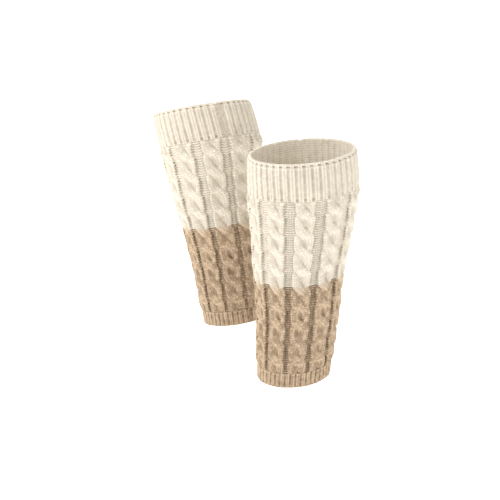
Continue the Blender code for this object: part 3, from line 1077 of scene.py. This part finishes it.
def yarn_material(name, colour, deep, painted_hole_shade, mottle, fringe, settings):
    """Plied yarn in stitches: round legs, twisted plies, loose fibre and painted shade in the creases.
    """
    # deep is the painted shade colour that the creases take
    material = bpy.data.materials.new(name)
    material.use_nodes = True
    material.node_tree.nodes.clear()
    plan = Plan(material.node_tree)
    place_uv = plan.node("ShaderNodeUVMap", {"uv_map": "stitches"}).out()
    split = plan.node("ShaderNodeSeparateXYZ", inputs={0: place_uv})
    wale, course = split.out(0), split.out(1)
    purl = plan.node("ShaderNodeAttribute", {"attribute_name": "purl"}).out("Fac")
    shade = plan.node("ShaderNodeAttribute", {"attribute_name": "shade"}).out("Fac")
    pit = plan.node("ShaderNodeAttribute", {"attribute_name": "pit"}).out("Fac")
    place_object = plan.node("ShaderNodeTexCoord").out("Object")
    across = course.arch() ** 0.7
    leg = wale.arch() ** 0.8 * 0.7 + (wale * 2.0).arch() ** 0.6 * 0.3
    knit = across * (leg * 0.75 + 0.25)
    bump = across * (wale.arch() * 0.5 + 0.5)
    stitch = knit * (1 - purl) + bump * purl
    cell = plan.node("ShaderNodeCombineXYZ", inputs={
        0: wale.math("FLOOR"), 1: course.math("FLOOR")}).out()
    chance = plan.node("ShaderNodeTexWhiteNoise", {"noise_dimensions": "2D"}, {
        "Vector": cell}).out("Value")
    ply = (wale * 5.0 + course * 2.0).wave() * 0.5 + 0.5
    fibre = plan.node("ShaderNodeTexNoise", inputs={
        "Vector": place_object, "Scale": 1500.0, "Detail": 3.0, "Roughness": 0.7}).out(0)
    patch = plan.node("ShaderNodeTexNoise", inputs={
        "Vector": place_object, "Scale": 38.0, "Detail": 2.0, "Roughness": 0.6}).out(0)
    height = stitch + ply * 0.14 + fibre * 0.3
    raised = plan.node("ShaderNodeBump", inputs={
        "Strength": 0.75, "Distance": 0.00045, "Height": height}).out()
    # Painted shade in the holes between courses and between purl bumps
    hole = (1 - course.arch()) ** 0.7 * (1 - purl * (1 - wale.arch()))
    # Painted shade: the yarn goes towards the deep colour in the creases of each stitch and where the
    # shade attribute is low
    lit_share = (stitch * 0.7 + 0.35) * (shade * 0.85 + 0.15)
    uneven = (chance - 0.5) * (purl * pit * 2.0 + 1.0) + (fibre - 0.5)
    lit_share = lit_share * (purl * 0.22 + 1.05) + uneven * mottle
    tone = plan.between(lit_share.clamped(), (*deep, 1.0), (*colour, 1.0))
    # Painted shade: the pits go darker still than the deep colour
    tone = plan.between((pit * hole * painted_hole_shade).clamped(), tone, (*[c * k for c, k in zip(deep, (0.45, 0.38, 0.32))], 1.0))
    past_change = ((FRINGE_END - course) * 0.4).clamped() * ((fibre - 0.2) * 1.6).clamped()
    tone = plan.between(past_change * fringe, tone, (*settings.cream, 1.0))
    worn = ((patch - 0.5) * 0.5 + 0.12).clamped()
    paler = plan.between(worn, tone, (*[min(1.0, c * 1.12 + 0.02) for c in colour], 1.0))
    shader = plan.node("ShaderNodeBsdfPrincipled", inputs={
        "Base Color": paler, "Roughness": settings.roughness, "Normal": raised,
        "Sheen Weight": settings.sheen, "Sheen Roughness": 0.5,
        "Sheen Tint": (*[min(1.0, c * 1.15) for c in colour], 1.0),
        "Specular IOR Level": 0.2})
    plan.node("ShaderNodeOutputMaterial", inputs={"Surface": shader.out()})
    material.diffuse_color = (*colour, 1.0)
    return material


def loose_yarn_material(name, colour, settings):
    """The same yarn on loops and fibres, which have no stitch map."""
    material = bpy.data.materials.new(name)
    material.use_nodes = True
    material.node_tree.nodes.clear()
    plan = Plan(material.node_tree)
    place_object = plan.node("ShaderNodeTexCoord").out("Object")
    fibre = plan.node("ShaderNodeTexNoise", inputs={
        "Vector": place_object, "Scale": 1300.0, "Detail": 3.0, "Roughness": 0.7}).out(0)
    tone = plan.between(
        fibre, (*[c * 0.82 for c in colour], 1.0), (*[min(1.0, c * 1.1) for c in colour], 1.0))
    raised = plan.node("ShaderNodeBump", inputs={
        "Strength": 0.6, "Distance": 0.0003, "Height": fibre}).out()
    shader = plan.node("ShaderNodeBsdfPrincipled", inputs={
        "Base Color": tone, "Roughness": settings.roughness, "Normal": raised,
        "Sheen Weight": settings.sheen, "Sheen Roughness": 0.5,
        "Sheen Tint": (*[min(1.0, c * 1.15) for c in colour], 1.0),
        "Specular IOR Level": 0.2})
    plan.node("ShaderNodeOutputMaterial", inputs={"Surface": shader.out()})
    material.diffuse_color = (*colour, 1.0)
    return material


def yarn(name):
    """One of the four yarn materials, made the first time it is asked for."""
    found = bpy.data.materials.get(name)
    if found:
        return found
    settings = bpy.context.scene.cuff_yarn
    colour = settings.cream if name.startswith("cream") else settings.taupe
    # The deep colour is the painted shade of the creases
    deep = settings.cream_painted_shade if name.startswith("cream") else settings.taupe_painted_shade
    if name.endswith("loose_yarn"):
        return loose_yarn_material(name, colour, settings)
    # The first number: how darkly the pits are painted with shade
    painted_hole_shade, mottle, fringe = (1.0, 0.35, 0.0) if name.startswith("cream") else (2.1, 0.62, 0.8)
    return yarn_material(name, colour, deep, painted_hole_shade, mottle, fringe, settings)


def tree_named(name, build):
    """A node tree, built the first time it is asked for."""
    return bpy.data.node_groups.get(name) or build()


def stitch_sizes(material, relief):
    settings = bpy.context.scene.cuff_knit
    return {
        "Knit height": settings.knit_height * relief,
        "Purl height": settings.purl_height * relief,
        "Pit depth": settings.pit_depth,
        "Unevenness": settings.unevenness,
        "Seed": settings.seed,
        "Material": material,
    }


def knitted(obj, colour, relief=1.0):
    """Raises the stitches of a grid and gives it its yarn."""
    sizes = stitch_sizes(yarn(f"{colour}_yarn"), relief)
    return grown(obj, tree_named("raise_stitches", stitch_tree), sizes)


def attached(obj, colour, *nodes):
    """Lets a finished piece move with the cuffs and stand for its CAD nodes."""
    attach(obj, "root")
    if nodes:
        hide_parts(*nodes)
    return obj


# Edges, seams and fuzz

def path_piece(name, cuff, down, turn, lift, up_step):
    """Points on a cuff that know which way the cloth faces and which way is up the path."""
    here = place(cuff, down, turn, lift)
    out = place(cuff, down, turn, lift + 1.0) - here
    along = place(cuff, down + up_step[0], turn + up_step[1], lift) - here
    facing = out / np.linalg.norm(out, axis=1, keepdims=True)
    up = along / np.linalg.norm(along, axis=1, keepdims=True)
    mesh = bpy.data.meshes.new(name)
    mesh.from_pydata(here.tolist(), [], [])
    for field, values in {"facing": facing, "up": up}.items():
        stored = mesh.attributes.new(field, "FLOAT_VECTOR", "POINT")
        stored.data.foreach_set("vector", values.astype(np.float32).ravel())
    obj = bpy.data.objects.new(name, mesh)
    bpy.context.scene.collection.objects.link(obj)
    return obj


def looped(obj, colour, radius, yarn_radius, sweep, start, slant, uneven, seed):
    sizes = {
        "Loop radius": radius, "Yarn radius": yarn_radius, "Sweep": sweep, "Start": start,
        "Slant": slant, "Unevenness": uneven, "Seed": seed,
        "Material": yarn(f"{colour}_loose_yarn")}
    return grown(obj, tree_named("loops_on_path", loop_tree), sizes)


def build_cast_on(cuff):
    """A slanting loop of yarn over the top edge for every wale."""
    settings = bpy.context.scene.cuff_edges
    count = RIBS * 3
    turn = np.arange(count) / count * 2 * math.pi
    away = np.abs(from_seam(cuff, turn)) / RIB_ANGLE
    down = 1.5 + SEAM_NOTCH * np.exp(-((away / 0.25) ** 2))
    lift = np.full(count, 0.5 * (WALL + EDGE_RELIEF) + 0.1)
    obj = path_piece(f"{cuff.name}_cast_on_edge", cuff, down, turn, lift, (-1.0, 0.0))
    return looped(
        obj, "cream", settings.loop_radius, settings.yarn_radius, math.radians(250),
        math.radians(-70), settings.slant, 0.16, cuff.seed)


def build_bind_off(cuff):
    """A slanting loop of yarn under the bottom edge for every wale."""
    settings = bpy.context.scene.cuff_edges
    count = RIBS * 3
    turn = np.arange(count) / count * 2 * math.pi
    down = np.full(count, CUFF_LENGTH - 1.6)
    lift = np.full(count, 1.6)
    obj = path_piece(f"{cuff.name}_bind_off_edge", cuff, down, turn, lift, (1.0, 0.0))
    return looped(
        obj, "taupe", settings.loop_radius, settings.yarn_radius * 0.9, math.radians(240),
        math.radians(-60), -settings.slant, 0.16, cuff.seed + 1)


def build_seam(cuff, zone, colour, start, end):
    """Small sewing stitches over the side seam."""
    settings = bpy.context.scene.cuff_edges
    down = np.arange(start + COURSE, end, 2 * COURSE)
    seam = (cuff.seam_cable + 0.5) * REPEAT_ANGLE
    turn = np.full(len(down), seam) + 0.0035 * np.sin(down * 0.7)
    lift = np.full(len(down), WALL + SEAM_RELIEF - settings.seam_loop_radius / MM + 0.5)
    obj = path_piece(f"{cuff.name}_{zone}_seam", cuff, down, turn, lift, (0.0, 0.01))
    return looped(
        obj, colour, settings.seam_loop_radius, settings.seam_yarn_radius, math.radians(110),
        math.radians(-55), 0.25, 0.12, cuff.seed + 2)


def build_fuzz(cuff, colour, hosts):
    """Loose fibres on the outside of the knit of one colour."""
    settings = bpy.context.scene.cuff_fuzz
    copies = []
    for host in hosts:
        copy = host.copy()
        copy.data = host.data.copy()
        copy.parent = None
        for key in list(copy.keys()):
            del copy[key]
        bpy.context.scene.collection.objects.link(copy)
        copies.append(copy)
    obj = joined(copies, f"{cuff.name}_{colour}_fuzz")
    sizes = {
        "Density": settings.density, "Length": settings.length, "Radius": settings.radius,
        "Seed": settings.seed + cuff.seed, "Material": yarn(f"{colour}_loose_yarn")}
    return grown(obj, tree_named("loose_fibres", fuzz_tree), sizes)


# Operators

class CUFFS_OT_bands(bpy.types.Operator):
    """Knit the ribbed bands and their cast-on edges"""

    bl_idname = "cuffs.bands"
    bl_label = "Ribbed bands"

    def execute(self, context):
        for cuff in CUFFS:
            band = knitted(build_band(cuff), "cream", 0.85)
            attached(band, "cream", f"{cuff.name}_band")
            edge = attached(build_cast_on(cuff), "cream", f"{cuff.name}_band")
            seam = build_seam(cuff, "band", "cream", EDGE_CORD + 1.5, BAND_END)
            attached(seam, "cream", f"{cuff.name}_band")
        return {"FINISHED"}


class CUFFS_OT_bodies(bpy.types.Operator):
    """Knit the cabled bodies, with the purl gaps between their cables"""

    bl_idname = "cuffs.bodies"
    bl_label = "Cabled bodies"

    def execute(self, context):
        zones = (
            ("upper", "cream", BAND_END + 0.1, COLOUR_CHANGE, (0.335, 0.113)),
            ("lower", "taupe", COLOUR_CHANGE, CABLES_END, (0.29, 0.116)),
        )
        for cuff in CUFFS:
            for zone, colour, start, end, flat in zones:
                node = f"{cuff.name}_{zone}"
                wall = knitted(build_body_wall(cuff, zone, start, end), colour)
                first = CABLE_COLOUR_CHANGE if start == COLOUR_CHANGE else start
                last = CABLE_COLOUR_CHANGE if end == COLOUR_CHANGE else end
                cables = knitted(build_cables(cuff, zone, first, last), colour)
                seam = build_seam(cuff, zone, colour, start, end)
                for piece in (wall, cables, seam):
                    attached(piece, colour, node)
        return {"FINISHED"}


class CUFFS_OT_hems(bpy.types.Operator):
    """Knit the plain ribbed ends"""

    bl_idname = "cuffs.hems"
    bl_label = "Ribbed ends"

    def execute(self, context):
        for cuff in CUFFS:
            node = f"{cuff.name}_hem"
            hem = attached(knitted(build_hem(cuff), "taupe", 0.6), "taupe", node)
            edge = attached(build_bind_off(cuff), "taupe", node)
        return {"FINISHED"}


class CUFFS_OT_fuzz(bpy.types.Operator):
    """Scatter loose fibres over the knit"""

    bl_idname = "cuffs.fuzz"
    bl_label = "Fuzz"

    def execute(self, context):
        objects = bpy.data.objects
        for cuff in CUFFS:
            cream = [objects[f"{cuff.name}_{name}"] for name in (
                "band_knit", "upper_knit", "upper_cables")]
            taupe = [objects[f"{cuff.name}_{name}"] for name in (
                "lower_knit", "lower_cables", "hem_knit")]
            attached(build_fuzz(cuff, "cream", cream), "cream")
            attached(build_fuzz(cuff, "taupe", taupe), "taupe")
        return {"FINISHED"}


class CUFFS_OT_stage(bpy.types.Operator):
    """Set up the floor, the soft lights and the camera"""

    bl_idname = "cuffs.stage"
    bl_label = "Stage"

    def execute(self, context):
        settings = context.scene.cuff_stage
        camera = bpy.data.cameras.new("camera")
        camera.lens = settings.lens
        camera.sensor_width = 36.0
        camera.clip_start = 0.05
        camera.clip_end = 50.0
        holder = bpy.data.objects.new("camera", camera)
        holder.location = settings.camera_place
        holder.rotation_euler = (math.radians(90) - settings.camera_pitch, 0.0, 0.0)
        context.scene.collection.objects.link(holder)
        context.scene.camera = holder
        floor_level = cad_box[0].z - settings.floor_drop
        self.floor(context, floor_level)
        self.light(context, "key", (-2.0, -1.1, 1.3), 1.3, 28.0)
        self.light(context, "fill", (1.9, -1.0, 0.9), 1.6, 18.0)
        self.light(context, "top", (-1.3, 0.5, 1.6), 1.6, 20.0)
        self.world(context)
        context.scene.view_settings.view_transform = "Standard"
        return {"FINISHED"}

    def floor(self, context, level):
        """A pale floor that is wide enough for every view."""
        size, rings = 9.0, 24
        steps = np.linspace(-size, size, rings + 1)
        points = [(x, y, level) for y in steps for x in steps]
        faces = [
            (a, a + 1, a + rings + 2, a + rings + 1)
            for row in range(rings)
            for a in range(row * (rings + 1), row * (rings + 1) + rings)
        ]
        mesh = bpy.data.meshes.new("floor")
        mesh.from_pydata(points, [], faces)
        material = bpy.data.materials.new("pale_floor")
        material.use_nodes = True
        shader = material.node_tree.nodes["Principled BSDF"]
        shader.inputs["Base Color"].default_value = (0.93, 0.93, 0.93, 1.0)
        shader.inputs["Roughness"].default_value = 0.7
        shader.inputs["Specular IOR Level"].default_value = 0.1
        shader.inputs["Emission Color"].default_value = (1.0, 1.0, 1.0, 1.0)
        shader.inputs["Emission Strength"].default_value = 0.55
        mesh.materials.append(material)
        floor = bpy.data.objects.new("floor", mesh)
        context.scene.collection.objects.link(floor)

    def light(self, context, name, place_at, size, power):
        """A soft square light that looks at the cuffs."""
        light = bpy.data.lights.new(name, "AREA")
        light.size = size
        light.energy = power
        holder = bpy.data.objects.new(name, light)
        holder.location = place_at
        aim = Vector((-0.06, 0.08, -0.13)) - Vector(place_at)
        holder.rotation_euler = aim.to_track_quat("-Z", "Y").to_euler()
        context.scene.collection.objects.link(holder)

    def world(self, context):
        world = bpy.data.worlds.new("studio")
        world.use_nodes = True
        background = world.node_tree.nodes["Background"]
        background.inputs["Color"].default_value = (1.0, 0.995, 0.985, 1.0)
        background.inputs["Strength"].default_value = 0.63
        context.scene.world = world


class CUFFS_PT_panel(bpy.types.Panel):
    """The steps and sizes of the boot cuffs"""

    bl_idname = "CUFFS_PT_panel"
    bl_label = "Boot cuffs"
    bl_space_type = "VIEW_3D"
    bl_region_type = "UI"
    bl_category = "Knit"

    def draw(self, context):
        for operator in OPERATORS:
            self.layout.operator(operator.bl_idname)
        for name, settings in SETTINGS.items():
            box = self.layout.box()
            group = getattr(context.scene, name)
            for field in settings.__annotations__:
                box.prop(group, field)


OPERATORS = (
    CUFFS_OT_stage, CUFFS_OT_bands, CUFFS_OT_bodies, CUFFS_OT_hems, CUFFS_OT_fuzz,
)
SETTINGS = {
    "cuff_knit": KnitSettings,
    "cuff_edges": EdgeSettings,
    "cuff_fuzz": FuzzSettings,
    "cuff_yarn": YarnSettings,
    "cuff_stage": StageSettings,
}


def register():
    for name, settings in SETTINGS.items():
        bpy.utils.register_class(settings)
        setattr(bpy.types.Scene, name, PointerProperty(type=settings))
    for operator in OPERATORS:
        bpy.utils.register_class(operator)
    bpy.utils.register_class(CUFFS_PT_panel)


def unregister():
    bpy.utils.unregister_class(CUFFS_PT_panel)
    for operator in reversed(OPERATORS):
        bpy.utils.unregister_class(operator)
    for name, settings in SETTINGS.items():
        delattr(bpy.types.Scene, name)
        bpy.utils.unregister_class(settings)


def main():
    register()
    bpy.ops.cuffs.stage()
    bpy.ops.cuffs.bands()
    bpy.ops.cuffs.bodies()
    bpy.ops.cuffs.hems()
    bpy.ops.cuffs.fuzz()


if __name__ == "__main__":
    main()
